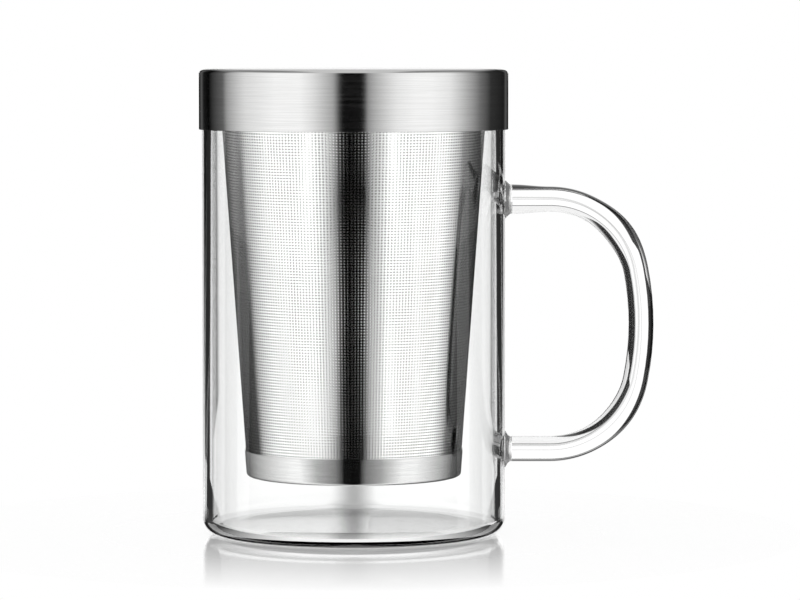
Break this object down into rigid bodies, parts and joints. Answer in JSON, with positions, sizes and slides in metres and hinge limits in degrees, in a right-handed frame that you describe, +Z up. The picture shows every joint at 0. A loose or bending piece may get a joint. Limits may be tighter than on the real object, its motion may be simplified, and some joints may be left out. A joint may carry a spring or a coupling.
{
  "type": "lidded tea mug with infuser",
  "caption": "Clear glass tea mug with a glass D handle, a lift-out perforated steel infuser basket and a brushed steel cap lid.",
  "frame": {"origin": "on the mug's axis, on the plane that the foot ring stands on", "axes": "+Z up along the mug's axis, +X towards the handle"},
  "size_m": [0.1296, 0.088, 0.1326],
  "materials": {
    "clear_glass": "polished",
    "brushed_steel": "brushed",
    "etched_steel": "satin"
  },
  "bodies": {
    "mug": {"glass_body": "clear_glass", "handle": "clear_glass", "upper_handle_weld": "clear_glass", "lower_handle_weld": "clear_glass"},
    "infuser": {"infuser_collar": "brushed_steel", "wall_screen": "etched_steel", "base_ring": "brushed_steel", "floor_screen": "etched_steel"},
    "lid": {"lid_shell": "brushed_steel"}
  },
  "joints": [
    {"name": "infuser_lift", "type": "slide", "parent": "mug", "child": "infuser", "axis": [0, 0, 1], "range_m": [0, 0.14]},
    {"name": "lid_lift", "type": "slide", "parent": "infuser", "child": "lid", "axis": [0, 0, 1], "range_m": [0, 0.06]}
  ]
}
